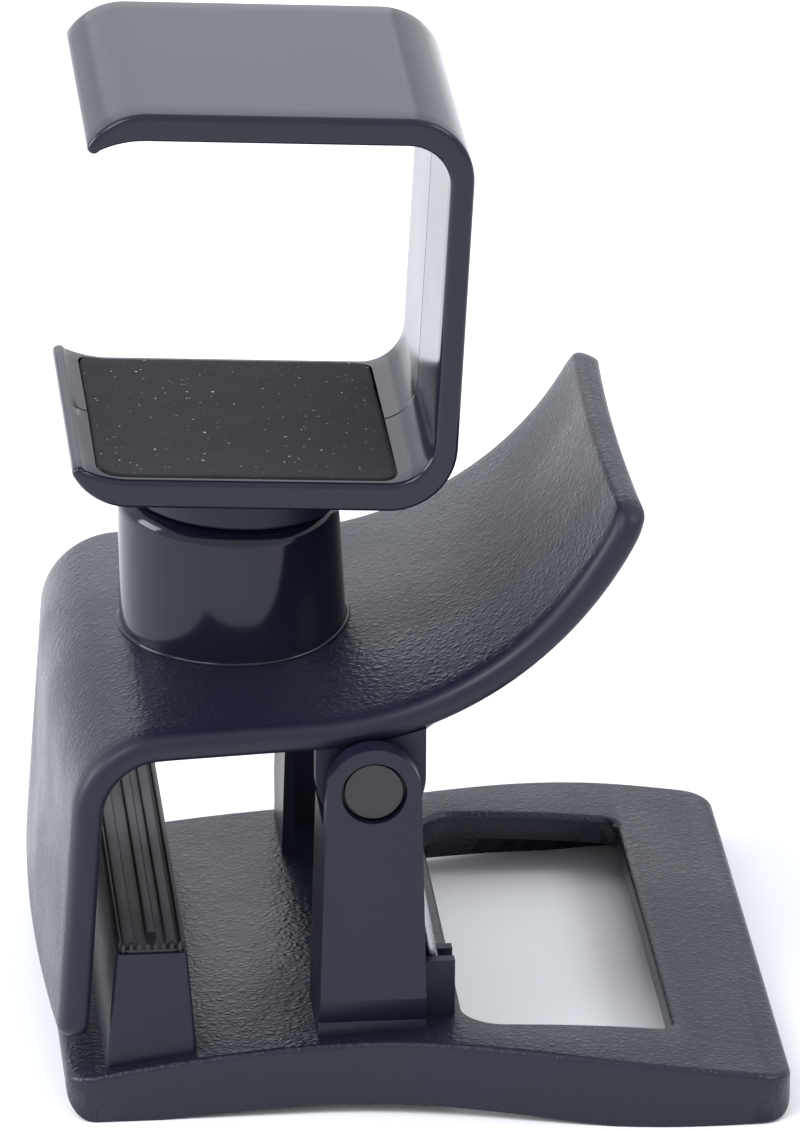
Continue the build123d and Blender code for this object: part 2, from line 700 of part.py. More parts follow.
def pad_section(thickness, side, grow):
    """Outline of one pad, flat along the arm and curved up its curl."""
    turn = PAD_CURL_DEG + degrees(grow / lining_radius(thickness, side))
    low = lining_arc(thickness, side, turn, PAD_SUNK + grow)
    high = lining_arc(thickness, side, turn, PAD_SUNK - PAD_T - grow)
    back_low = (PAD_BACK_X + grow, (low @ 0).Y)
    back_high = (PAD_BACK_X + grow, (high @ 0).Y)
    edges = [
        Line(low @ 0, back_low),
        Line(back_low, back_high),
        Line(back_high, high @ 0),
        high,
        Line(high @ 1, low @ 1),
        low,
    ]
    return make_face(Curve(edges))


def pad_solid(thickness, side, grow):
    """One pad with its four corners rounded, or with grow the recess that it lies in."""
    half = HOOK_DEPTH / 2 - PAD_MARGIN + grow
    solid = extrude(Plane.XZ * pad_section(thickness, side, grow), half, both=True)
    corners = solid.edges().filter_by(
        lambda e: e.length < 2 * (PAD_T + grow) and abs(e.tangent_at(0.5).Y) < 0.5
    )
    return fillet(corners, PAD_CORNER_R).solid()


def hook_shell():
    """The C-shaped hook with its two curled tips and the recesses for its pads."""
    far_x = HOOK_OPEN_X - 4 * HOOK_CURL_R
    outer = corner_face(far_x, HOOK_BACK_X, HOOK_FLOOR_Z, HOOK_TOP_Z, HOOK_CORNER_R)
    inner = corner_face(
        far_x,
        HOOK_BACK_X - HOOK_WALL_T,
        HOOK_FLOOR_Z + HOOK_FLOOR_T,
        HOOK_TOP_Z - HOOK_ROOF_T,
        HOOK_CORNER_R - HOOK_WALL_T,
    )
    mouth = make_face(
        Curve(polygon([(far_x, -FAR), (HOOK_OPEN_X, -FAR), (HOOK_OPEN_X, FAR), (far_x, FAR)]))
    )
    shape = outer - inner - mouth
    shape = shape + curled_tip(HOOK_FLOOR_T, 1) + curled_tip(HOOK_ROOF_T, -1)
    body = extrude(Plane.XZ * shape, HOOK_DEPTH / 2, both=True)
    body = body - pad_solid(HOOK_FLOOR_T, 1, PAD_FIT_GAP)
    body = body - pad_solid(HOOK_ROOF_T, -1, PAD_FIT_GAP)
    return swivel_frame() * body.solid()


def seated_pad(thickness, side):
    """One pad, lying on the floor of its recess."""
    return swivel_frame() * Pos(0, 0, -side * PAD_FIT_GAP) * pad_solid(thickness, side, 0)


def write(name, solid):
    """Write one node's STEP file."""
    export_step(solid, os.path.join("parts", name + ".step"))


def main():
    """Build every piece and write it."""
    os.makedirs("parts", exist_ok=True)
    base = base_plate()
    lever = lever_plate()
    front_upright = upright(base)
    front_seat = spring_seat(base)
    front_spring = spring()
    front_ear = ear()
    write("base_plate", base)
    write("upright_front", front_upright)
    write("upright_rear", rear(front_upright))
    write("jaw_block", jaw_block(base))
    write("jaw_pad", jaw_pad())
    write("spring_seat_front", front_seat)
    write("spring_seat_rear", rear(front_seat))
    write("hinge_pin", hinge_pin())
    write("pin_retainer", pin_retainer())
    write("spring_front", front_spring)
    write("spring_rear", rear(front_spring))
    write("lever_plate", lever)
    write("ear_front", (front_ear - lever).solid())
    write("ear_rear", (rear(front_ear) - rear(lever)).solid())
    write("turret_cup", turret_cup(lever))
    write("hook_boss", hook_boss())
    write("hook_shell", hook_shell())
    write("pad_lower", seated_pad(HOOK_FLOOR_T, 1))
    write("pad_upper", seated_pad(HOOK_ROOF_T, -1))
    write("swivel_washer", washer())
    write("swivel_screw", screw())


if __name__ == "__main__":
    main()
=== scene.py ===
"""Looks of a sprung clamp with a swivelling C-shaped hook for headphones.

Metres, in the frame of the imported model: +Z up, +Y towards the back and +X towards the
finger end of the clamp.
"""

import json
import logging
from dataclasses import dataclass
from dataclasses import field
from enum import Enum
from math import asin
from math import atan2
from math import cos
from math import degrees
from math import hypot
from math import pi
from math import radians
from math import sin
from math import sqrt
from math import tan
from typing import Callable
from typing import Sequence

import bmesh
import bpy
from mathutils import Matrix
from mathutils import Vector
from mathutils import noise


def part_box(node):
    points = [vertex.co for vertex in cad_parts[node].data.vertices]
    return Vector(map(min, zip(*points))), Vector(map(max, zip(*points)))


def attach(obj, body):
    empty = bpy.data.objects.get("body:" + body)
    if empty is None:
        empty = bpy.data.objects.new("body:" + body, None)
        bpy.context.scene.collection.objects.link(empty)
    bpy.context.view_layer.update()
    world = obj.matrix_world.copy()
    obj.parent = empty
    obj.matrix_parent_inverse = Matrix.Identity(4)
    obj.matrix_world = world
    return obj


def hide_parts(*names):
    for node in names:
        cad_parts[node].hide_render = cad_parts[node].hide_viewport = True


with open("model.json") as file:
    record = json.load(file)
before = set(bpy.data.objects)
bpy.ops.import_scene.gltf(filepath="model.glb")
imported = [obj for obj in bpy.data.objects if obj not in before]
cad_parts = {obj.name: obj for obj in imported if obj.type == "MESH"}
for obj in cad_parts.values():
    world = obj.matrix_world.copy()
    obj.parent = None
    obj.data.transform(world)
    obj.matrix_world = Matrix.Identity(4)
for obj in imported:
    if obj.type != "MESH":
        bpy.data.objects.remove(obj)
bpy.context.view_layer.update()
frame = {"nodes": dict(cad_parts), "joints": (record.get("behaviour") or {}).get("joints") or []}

LOG = logging.getLogger("headphone_hook")
MM = 0.001

Colour = tuple[float, float, float]
Point2 = tuple[float, float]


class Grain(Enum):
    """Surface texture of a moulded face."""

    SMOOTH = "smooth"
    LEATHER = "leather"
    POLISHED = "polished"


class Net:
    """A small helper that adds and joins shader nodes."""

    def __init__(self, material: bpy.types.Material) -> None:
        """Clears the material's tree and makes its surface shader.

        Args:
            material: The material to build.
        """
        material.use_nodes = True
        self.tree = material.node_tree
        self.tree.nodes.clear()
        self.out = self.add("ShaderNodeOutputMaterial")
        self.shader = self.add("ShaderNodeBsdfPrincipled")
        self.link(self.shader.outputs["BSDF"], self.out.inputs["Surface"])
        coords = self.add("ShaderNodeTexCoord")
        self.place = coords.outputs["Object"]

    def add(self, kind: str, **values: object) -> bpy.types.Node:
        """Adds a node and sets its attributes.

        Args:
            kind: The node's type name.
            values: Attributes to set on it.

        Returns:
            The new node.
        """
        node = self.tree.nodes.new(kind)
        for name, value in values.items():
            setattr(node, name, value)
        return node

    def link(self, source: bpy.types.NodeSocket, target: bpy.types.NodeSocket) -> None:
        """Joins an output to an input."""
        self.tree.links.new(source, target)

    def mapped(self, scale: Colour) -> bpy.types.NodeSocket:
        """Object coordinates, scaled.

        Args:
            scale: Scale along X, Y and Z.

        Returns:
            The vector output.
        """
        node = self.add("ShaderNodeMapping")
        node.inputs["Scale"].default_value = scale
        self.link(self.place, node.inputs["Vector"])
        return node.outputs["Vector"]

    def noise(self, scale: float, detail: float, where: bpy.types.NodeSocket,
              rough: float = 0.5) -> bpy.types.NodeSocket:
        """A noise texture's value.

        Args:
            scale: Cells in a metre.
            detail: Octaves.
            where: Coordinates to read.
            rough: How strong the finer octaves are.

        Returns:
            The factor output.
        """
        node = self.add("ShaderNodeTexNoise")
        node.inputs["Scale"].default_value = scale
        node.inputs["Detail"].default_value = detail
        node.inputs["Roughness"].default_value = rough
        self.link(where, node.inputs["Vector"])
        return node.outputs[0]

    def ramp(self, value: bpy.types.NodeSocket, low: Point2, high: Point2) -> bpy.types.NodeSocket:
        """A smooth remap of a value.

        Args:
            value: The input.
            low: Input and output at the low end.
            high: Input and output at the high end.

        Returns:
            The mapped output.
        """
        node = self.add("ShaderNodeMapRange", interpolation_type="SMOOTHSTEP")
        for name, number in zip(
            ("From Min", "From Max", "To Min", "To Max"), (low[0], high[0], low[1], high[1])
        ):
            node.inputs[name].default_value = number
        self.link(value, node.inputs["Value"])
        return node.outputs["Result"]

    def math(self, kind: str, a: object, b: object) -> bpy.types.NodeSocket:
        """A maths node on two values, each a socket or a number.

        Args:
            kind: The operation.
            a: The first value.
            b: The second value.

        Returns:
            The result.
        """
        node = self.add("ShaderNodeMath", operation=kind)
        for socket, value in zip(node.inputs, (a, b)):
            if isinstance(value, (int, float)):
                socket.default_value = value
            else:
                self.link(value, socket)
        return node.outputs[0]

    def blend(self, factor: bpy.types.NodeSocket, a: Colour, b: Colour) -> bpy.types.NodeSocket:
        """A mix of two colours.

        Args:
            factor: 0 for the first colour and 1 for the second.
            a: The first colour.
            b: The second colour.

        Returns:
            The colour output.
        """
        node = self.add("ShaderNodeMix", data_type="RGBA")
        node.inputs[6].default_value = (*a, 1)
        node.inputs[7].default_value = (*b, 1)
        self.link(factor, node.inputs[0])
        return node.outputs[2]

    def bump(self, height: bpy.types.NodeSocket, depth: float, strength: float,
             before: bpy.types.NodeSocket | None = None) -> bpy.types.NodeSocket:
        """A bump of a height, on top of an earlier bump.

        Args:
            height: The height, from 0 to 1.
            depth: Depth in metres for a height of 1.
            strength: Share of the bump that is used.
            before: An earlier bump's normal.

        Returns:
            The normal output.
        """
        node = self.add("ShaderNodeBump")
        node.inputs["Distance"].default_value = depth
        node.inputs["Strength"].default_value = strength
        self.link(height, node.inputs["Height"])
        if before is not None:
            self.link(before, node.inputs["Normal"])
        return node.outputs["Normal"]


@dataclass(frozen=True)
class Plastic:
    """A black moulded plastic."""

    name: str
    colour: Colour
    grain: Grain
    roughness: float
    spread: float = 0.05
    specular: float = 0.36

    def make(self) -> bpy.types.Material:
        """Builds the material.

        Returns:
            The finished material.
        """
        material = bpy.data.materials.new(self.name)
        net = Net(material)
        slow = net.noise(38.0, 3.0, net.place)
        fine = net.noise(2600.0, 2.0, net.place)
        lighter = tuple(c * 1.35 for c in self.colour)
        net.link(net.blend(slow, self.colour, lighter), net.shader.inputs["Base Color"])
        low = self.roughness - self.spread
        high = self.roughness + self.spread
        if self.grain is Grain.LEATHER:
            normal, pits = self.leather(net)
            worn = net.math("MULTIPLY", pits, -0.08)
            level = net.ramp(slow, (0.35, low), (0.65, high))
            net.link(net.math("ADD", level, worn), net.shader.inputs["Roughness"])
        else:
            depth = 0.000004 if self.grain is Grain.POLISHED else 0.000012
            normal = net.bump(fine, depth, 0.6)
            waves = net.noise(130.0, 1.0, net.place)
            normal = net.bump(waves, 0.00003, 0.25, normal)
            net.link(net.ramp(slow, (0.35, low), (0.65, high)), net.shader.inputs["Roughness"])
        net.link(normal, net.shader.inputs["Normal"])
        net.shader.inputs["IOR"].default_value = 1.5
        net.shader.inputs["Specular IOR Level"].default_value = self.specular
        return material

    def leather(self, net: Net) -> tuple[bpy.types.NodeSocket, bpy.types.NodeSocket]:
        """Adds a fine leather grain with creases drawn out along X.

        Args:
            net: The material's tree.

        Returns:
            The normal and the height of the grain.
        """
        stretched = net.mapped((0.8, 1.0, 1.0))
        warp = net.add("ShaderNodeTexNoise")
        warp.inputs["Scale"].default_value = 420.0
        warp.inputs["Detail"].default_value = 2.0
        net.link(stretched, warp.inputs["Vector"])
        shift = net.add("ShaderNodeVectorMath", operation="MULTIPLY_ADD")
        net.link(warp.outputs["Color"], shift.inputs[0])
        shift.inputs[1].default_value = (0.0016, 0.0016, 0.0016)
        net.link(stretched, shift.inputs[2])
        cells = net.add("ShaderNodeTexVoronoi", feature="DISTANCE_TO_EDGE")
        cells.inputs["Scale"].default_value = 1000.0
        net.link(shift.outputs[0], cells.inputs["Vector"])
        pebble = net.ramp(cells.outputs["Distance"], (0.0, 0.0), (0.42, 1.0))
        creases = net.noise(640.0, 4.0, shift.outputs[0], 0.6)
        soft = net.bump(creases, 0.00022, 0.5)
        return net.bump(pebble, 0.00009, 0.5, soft), pebble


@dataclass(frozen=True)
class Foam:
    """Matte black closed-cell foam with fine open pores and pale specks."""

    name: str
    colour: Colour
    speck: Colour

    def make(self) -> bpy.types.Material:
        """Builds the material.

        Returns:
            The finished material.
        """
        material = bpy.data.materials.new(self.name)
        net = Net(material)
        pores = net.add("ShaderNodeTexVoronoi")
        pores.inputs["Scale"].default_value = 2600.0
        net.link(net.place, pores.inputs["Vector"])
        cells = net.ramp(pores.outputs["Distance"], (0.05, 0.0), (0.45, 1.0))
        lint = net.ramp(net.noise(1500.0, 2.0, net.place), (0.71, 0.0), (0.76, 1.0))
        shade = net.noise(160.0, 4.0, net.place)
        dark = tuple(c * 0.7 for c in self.colour)
        ground = net.blend(shade, dark, self.colour)
        mix = net.add("ShaderNodeMix", data_type="RGBA")
        net.link(lint, mix.inputs[0])
        net.link(ground, mix.inputs[6])
        mix.inputs[7].default_value = (*self.speck, 1)
        net.link(mix.outputs[2], net.shader.inputs["Base Color"])
        net.link(net.ramp(cells, (0.0, 0.98), (1.0, 0.88)), net.shader.inputs["Roughness"])
        net.shader.inputs["Specular IOR Level"].default_value = 0.28
        net.shader.inputs["Sheen Weight"].default_value = 0.06
        normal = net.bump(cells, 0.00006, 0.8)
        net.link(net.bump(shade, 0.0002, 0.3, normal), net.shader.inputs["Normal"])
        return material


@dataclass(frozen=True)
class Metal:
    """Steel, bright drawn or black coated."""

    name: str
    colour: Colour
    roughness: float
    metallic: float
    scratch: Colour

    def make(self) -> bpy.types.Material:
        """Builds the material.

        Returns:
            The finished material.
        """
        material = bpy.data.materials.new(self.name)
        net = Net(material)
        marks = net.noise(900.0, 3.0, net.mapped(self.scratch))
        darker = tuple(c * 0.72 for c in self.colour)
        net.link(net.blend(marks, darker, self.colour), net.shader.inputs["Base Color"])
        low = (0.3, self.roughness - 0.07)
        high = (0.7, self.roughness + 0.07)
        net.link(net.ramp(marks, low, high), net.shader.inputs["Roughness"])
        net.shader.inputs["Metallic"].default_value = self.metallic
        net.link(net.bump(marks, 0.00001, 0.7), net.shader.inputs["Normal"])
        return material


GRAINED = Plastic("grained_black", (0.0075, 0.009, 0.0185), Grain.LEATHER, 0.36)
SATIN = Plastic("satin_black", (0.0045, 0.0055, 0.0155), Grain.SMOOTH, 0.40)
LEVER_SKIN = Plastic("grained_black", (0.0075, 0.009, 0.0185), Grain.LEATHER, 0.34)
HOOK_SKIN = Plastic("gloss_black", (0.0055, 0.0068, 0.015), Grain.POLISHED, 0.15, 0.02)
GLOSS = Plastic("gloss_black", (0.0045, 0.0055, 0.0135), Grain.POLISHED, 0.10, 0.02)
RUBBER = Plastic("pad_rubber", (0.016, 0.016, 0.018), Grain.SMOOTH, 0.42)
FOAM = Foam("foam_black", (0.0135, 0.014, 0.0175), (0.6, 0.6, 0.6))
BLACK_STEEL = Metal("black_steel", (0.02, 0.02, 0.025), 0.42, 0.0, (1.0, 1.0, 1.0))
SPRING_STEEL = Metal("spring_steel", (0.45, 0.45, 0.47), 0.3, 1.0, (1.0, 6.0, 1.0))


class Workshop:
    """Makes each finish once and puts finishes on pieces."""

    def __init__(self) -> None:
        """Starts with no materials."""
        self.made: dict[Plastic | Foam | Metal, bpy.types.Material] = {}

    def finish(self, kind: Plastic | Foam | Metal) -> bpy.types.Material:
        """The material of a finish, made the first time it is asked for.

        Args:
            kind: The finish.

        Returns:
            Its material.
        """
        if kind not in self.made:
            self.made[kind] = kind.make()
        return self.made[kind]

    def dress(self, piece: bpy.types.Object, kind: Plastic | Foam | Metal) -> None:
        """Gives a piece one finish all over.

        Args:
            piece: The piece or CAD object.
            kind: Its finish.
        """
        material = self.finish(kind)
        if not piece.material_slots:
            piece.data.materials.append(material)
        for place in piece.material_slots:
            place.material = material
        LOG.info("%s wears %s", piece.name, kind.name)

    def mount(self, piece: bpy.types.Object, kind: Plastic | Foam | Metal, body: str) -> None:
        """Dresses a piece and makes it ride on a body."""
        self.dress(piece, kind)
        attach(piece, body)


def mesh_piece(
    name: str, points: Sequence[Vector], faces: Sequence[Sequence[int]]
) -> bpy.types.Object:
    """Makes a mesh object with merged points and faces that point outwards.

    Args:
        name: The piece's name.
        points: Its points, in metres.
        faces: Its faces, as point numbers.

    Returns:
        The piece, linked to the scene.
    """
    mesh = bpy.data.meshes.new(name)
    mesh.from_pydata(list(points), [], [list(face) for face in faces])
    work = bmesh.new()
    work.from_mesh(mesh)
    bmesh.ops.remove_doubles(work, verts=work.verts, dist=0.002 * MM)
    bmesh.ops.recalc_face_normals(work, faces=work.faces)
    work.to_mesh(mesh)
    work.free()
    piece = bpy.data.objects.new(name, mesh)
    bpy.context.scene.collection.objects.link(piece)
    return piece


def loft(name: str, rings: Sequence[Sequence[Vector]], closed: bool = False) -> bpy.types.Object:
    """Skins a row of equal rings, with flat ends unless the row closes on itself.

    Args:
        name: The piece's name.
        rings: The rings, each with the same number of points.
        closed: Whether the last ring joins the first.

    Returns:
        The piece.
    """
    size = len(rings[0])
    points = [point for ring in rings for point in ring]
    faces = []
    for i in range(len(rings) if closed else len(rings) - 1):
        here = i * size
        there = (i + 1) % len(rings) * size
        for j in range(size):
            k = (j + 1) % size
            faces.append((here + j, here + k, there + k, there + j))
    if not closed:
        faces.append(range(size))
        faces.append(range(len(points) - size, len(points)))
    return mesh_piece(name, points, faces)


def shade(piece: bpy.types.Object, sharp: float = 40.0) -> None:
    """Shades a piece smooth, apart from edges sharper than an angle in degrees."""
    piece.data.shade_smooth()
    piece.data.set_sharp_from_angle(angle=radians(sharp))


def applied(piece: bpy.types.Object, name: str) -> bpy.types.Object:
    """Turns a piece with live modifiers into a plain mesh piece.

    Args:
        piece: The piece, which is deleted.
        name: The plain piece's name.

    Returns:
        The plain piece.
    """
    bpy.context.view_layer.update()
    seen = piece.evaluated_get(bpy.context.evaluated_depsgraph_get())
    mesh = bpy.data.meshes.new_from_object(seen)
    bpy.data.objects.remove(piece)
    mesh.name = name
    plain = bpy.data.objects.new(name, mesh)
    bpy.context.scene.collection.objects.link(plain)
    return plain


def steps(start: float, end: float, count: int) -> list[float]:
    """Evenly spaced numbers, both ends included."""
    return [start + (end - start) * i / (count - 1) for i in range(count)]


def eased(depth: float, radius: float) -> float:
    """How far a round corner draws in, at a depth from its end."""
    if depth >= radius:
        return 0.0
    return radius - sqrt(max(0.0, radius * radius - (radius - depth) ** 2))


@dataclass(frozen=True)
class Station:
    """A point on a slab's route: place, outward normal and run from the start."""

    x: float
    z: float
    normal_x: float
    normal_z: float
    run: float


class Route:
    """A route in the XZ plane of straight runs and arcs, with its outer side on the left."""

    def __init__(self, x: float, z: float, heading: float) -> None:
        """Starts at a point.

        Args:
            x: Its X.
            z: Its Z.
            heading: The direction of travel, in degrees from +X towards +Z.
        """
        self.x = x
        self.z = z
        self.heading = radians(heading)
        self.run = 0.0
        self.stations: list[Station] = []
        self.mark()

    def mark(self) -> None:
        """Adds a station here."""
        normal = (-sin(self.heading), cos(self.heading))
        self.stations.append(Station(self.x, self.z, *normal, self.run))

    def straight(self, length: float, count: int) -> None:
        """Goes straight on, over a count of stations.

        Args:
            length: How far it goes.
            count: How many stations it adds.
        """
        for _ in range(count):
            self.x += cos(self.heading) * length / count
            self.z += sin(self.heading) * length / count
            self.run += length / count
            self.mark()

    def arc(self, radius: float, turn: float, count: int) -> None:
        """Turns left by an angle in degrees, or right if it is negative, over stations.

        Args:
            radius: The arc's radius.
            turn: The angle, in degrees.
            count: How many stations it adds.
        """
        step = radians(turn) / count
        chord = 2 * radius * sin(abs(step) / 2)
        for _ in range(count):
            middle = self.heading + step / 2
            self.x += cos(middle) * chord
            self.z += sin(middle) * chord
            self.heading += step
            self.run += chord
            self.mark()

    def shift(self, out: float) -> None:
        """Moves every station outwards by a distance.

        Args:
            out: The distance.
        """
        self.stations = [
            Station(s.x + s.normal_x * out, s.z + s.normal_z * out, s.normal_x, s.normal_z, s.run)
            for s in self.stations
        ]

    def refined(self, gap: float, reach: float) -> list[Station]:
        """The stations with more of them near both ends.

        Args:
            gap: The distance between the added ones.
            reach: How far from each end they go.

        Returns:
            The longer list.
        """
        length = self.run
        runs = {round(s.run, 7) for s in self.stations}
        count = int(reach / gap)
        for i in range(count):
            depth = reach * (1 - cos(pi / 2 * i / count))
            runs |= {round(depth, 7), round(length - depth, 7)}
        return [self.at(run) for run in sorted(runs)]

    def at(self, run: float) -> Station:
        """The station at a run, between the marked ones.

        Args:
            run: The distance along the route.

        Returns:
            The station.
        """
        after = next((i for i, s in enumerate(self.stations) if s.run >= run), -1)
        b = self.stations[after]
        a = self.stations[after - 1] if after > 0 else b
        part = 0.0 if b.run == a.run else (run - a.run) / (b.run - a.run)
        mixed = [p + (q - p) * part for p, q in zip(
            (a.x, a.z, a.normal_x, a.normal_z), (b.x, b.z, b.normal_x, b.normal_z)
        )]
        return Station(*mixed, run)


@dataclass
class Slab:
    """A slab along a route, crowned over its width, with rounded edges and corners."""

    name: str
    thickness: float
    edge: float
    crown: float = 0.0
    crown_half: float = 1.0
    end_round: float = 0.0
    corners: tuple[float, float] = (0.0, 0.0)
    across: int = 26

    def crown_at(self, y: float) -> float:
        """Height of the crown at a distance from the middle."""
        return self.crown * (1 - (y / self.crown_half) ** 2)

    def ring(self, at: Station, half: float, inset: float) -> list[Vector]:
        """One cross-section.

        Args:
            at: Its station.
            half: Its half width.
            inset: How far its whole outline is drawn in.

        Returns:
            Its points.
        """
        half -= inset
        top = -inset
        low = inset - self.thickness
        edge = max(0.02 * MM, min(self.edge, 0.48 * (top - low)))
        inner = half - edge
        outline = [(y, top + self.crown_at(y)) for y in steps(-inner, inner, self.across)]
        side = self.crown_at(half)
        turns = [radians(a) for a in steps(75, 0, 6)]
        outline += [(half - edge + edge * cos(a), side + top - edge + edge * sin(a)) for a in turns]
        outline += [
            (half - edge + edge * cos(a), side + low + edge - edge * sin(a)) for a in turns[::-1]
        ]
        outline += [(y, low + self.crown_at(y)) for y in steps(inner, -inner, self.across)]
        outline += [
            (edge - half - edge * cos(a), side + low + edge - edge * sin(a)) for a in turns
        ]
        outline += [
            (edge - half - edge * cos(a), side + top - edge + edge * sin(a)) for a in turns[::-1]
        ]
        return [
            Vector((at.x + at.normal_x * out, y, at.z + at.normal_z * out)) for y, out in outline
        ]

    def build(self, route: Route, half_at: Callable[[Station], float]) -> bpy.types.Object:
        """Builds the slab.

        Args:
            route: The line of its outer face.
            half_at: Its half width at a station.

        Returns:
            The piece.
        """
        rings = []
        reach = max(self.end_round, *self.corners, 0.4 * MM)
        for at in route.refined(0.35 * MM, reach):
            left = at.run
            right = route.run - at.run
            inset = max(eased(left, self.end_round), eased(right, self.end_round))
            half = half_at(at) - eased(left, self.corners[0]) - eased(right, self.corners[1])
            rings.append(self.ring(at, half, inset))
        piece = loft(self.name, rings)
        shade(piece)
        return piece


@dataclass
class Lever:
    """The upper lever's plate and the bead round the turret's foot."""

    lip_x: float = -52.5 * MM
    lip_end_z: float = 12.4 * MM
    bend_x: float = -49.25 * MM
    top_z: float = 58.8 * MM
    bend_r: float = 12.0 * MM
    sweep_x: float = -16.5 * MM
    sweep_r: float = 50.0 * MM
    sweep_deg: float = 67.0
    thickness: float = 4.2 * MM
    crown: float = 1.8 * MM
    lip_half: float = 40.3 * MM
    shoulder_x: float = -36.5 * MM
    shoulder_half: float = 38.2 * MM
    waist_half: float = 36.6 * MM
    middle_x: float = 7.0 * MM
    middle_half: float = 35.3 * MM
    tip_half: float = 31.6 * MM
    bead_r: float = 0.42 * MM
    foot_r: float = 16.62 * MM
    foot_x: float = -24.3 * MM

    def route(self) -> Route:
        """The line of the plate's outer face, from the lip's end to the finger end."""
        lean = degrees(atan2(self.top_z - self.lip_end_z, self.bend_x - self.lip_x))
        cut = self.bend_r * tan(radians(lean / 2))
        rise = (self.top_z - self.lip_end_z) / sin(radians(lean))
        line = Route(self.lip_x, self.lip_end_z, lean)
        line.straight(rise - cut, 8)
        line.arc(self.bend_r, -lean, 20)
        line.straight(self.sweep_x - self.bend_x - cut, 8)
        line.arc(self.sweep_r, self.sweep_deg, 34)
        return line

    def half_at(self, at: Station) -> float:
        """Half the plate's width at a station.

        Args:
            at: The station.

        Returns:
            The half width.
        """
        x = at.x - at.normal_x * self.thickness / 2
        if x <= self.shoulder_x:
            part = max(0.0, x - self.lip_x) / (self.shoulder_x - self.lip_x)
            return self.lip_half + (self.shoulder_half - self.lip_half) * part
        if x <= self.sweep_x:
            part = (x - self.shoulder_x) / (self.sweep_x - self.shoulder_x)
            return self.shoulder_half + (self.waist_half - self.shoulder_half) * part
        tip_x = self.sweep_x + (self.sweep_r + self.thickness) * sin(radians(self.sweep_deg))
        places = (self.sweep_x, self.middle_x, tip_x)
        sizes = (self.waist_half, self.middle_half, self.tip_half)
        total = 0.0
        for i, size in enumerate(sizes):
            share = size
            for j, other in enumerate(places):
                if j != i:
                    share *= (x - other) / (places[i] - other)
            total += share
        return total

    def surface_z(self, x: float, y: float) -> float:
        """Height of the plate's top at a point.

        Args:
            x: The point's x.
            y: The point's y.

        Returns:
            The height.
        """
        crown = self.crown * (1 - (y / self.lip_half) ** 2)
        if x <= self.sweep_x:
            return self.top_z + crown
        reach = self.sweep_r - crown
        dx = x - self.sweep_x
        return self.top_z + self.sweep_r - sqrt(reach * reach - dx * dx)

    def plate(self) -> bpy.types.Object:
        """Builds the plate."""
        slab = Slab(
            "lever_skin",
            self.thickness,
            edge=2.0 * MM,
            crown=self.crown,
            crown_half=self.lip_half,
            end_round=1.5 * MM,
            corners=(3.0 * MM, 4.5 * MM),
            across=34,
        )
        piece = slab.build(self.route(), self.half_at)
        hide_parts("lever_plate")
        return piece

    def rim(self, piece: bpy.types.Object, smooth: bpy.types.Material) -> None:
        """Gives the plate's rounded edges the smooth finish, without grain.

        Args:
            piece: The plate.
            smooth: The smooth finish.
        """
        piece.data.materials.append(smooth)
        for face in piece.data.polygons:
            if abs(face.normal.y) > 0.24:
                face.material_index = 1

    def bead(self) -> bpy.types.Object:
        """Builds the fine bead where the turret meets the plate."""
        rings = []
        for turn in steps(0, 2 * pi, 145)[:-1]:
            out = Vector((cos(turn), sin(turn), 0))
            foot = Vector((self.foot_x, 0, 0)) + out * self.foot_r
            foot.z = self.surface_z(foot.x, foot.y) + 0.1 * MM
            wobble = 1 + 0.12 * sin(7 * turn) + 0.08 * sin(17 * turn + 1.0)
            radius = self.bead_r * wobble
            ring = [foot + (out * cos(a) + Vector((0, 0, sin(a)))) * radius
                    for a in steps(0, 2 * pi, 11)[:-1]]
            rings.append(ring)
        piece = loft("turret_bead", rings, closed=True)
        shade(piece)
        return piece

    def build(self, shop: Workshop) -> None:
        """Builds and dresses the lever's pieces.

        Args:
            shop: The workshop that dresses them.
        """
        plate = self.plate()
        shop.mount(plate, LEVER_SKIN, "lever")
        self.rim(plate, shop.finish(SATIN))
        shop.mount(self.bead(), GLOSS, "lever")


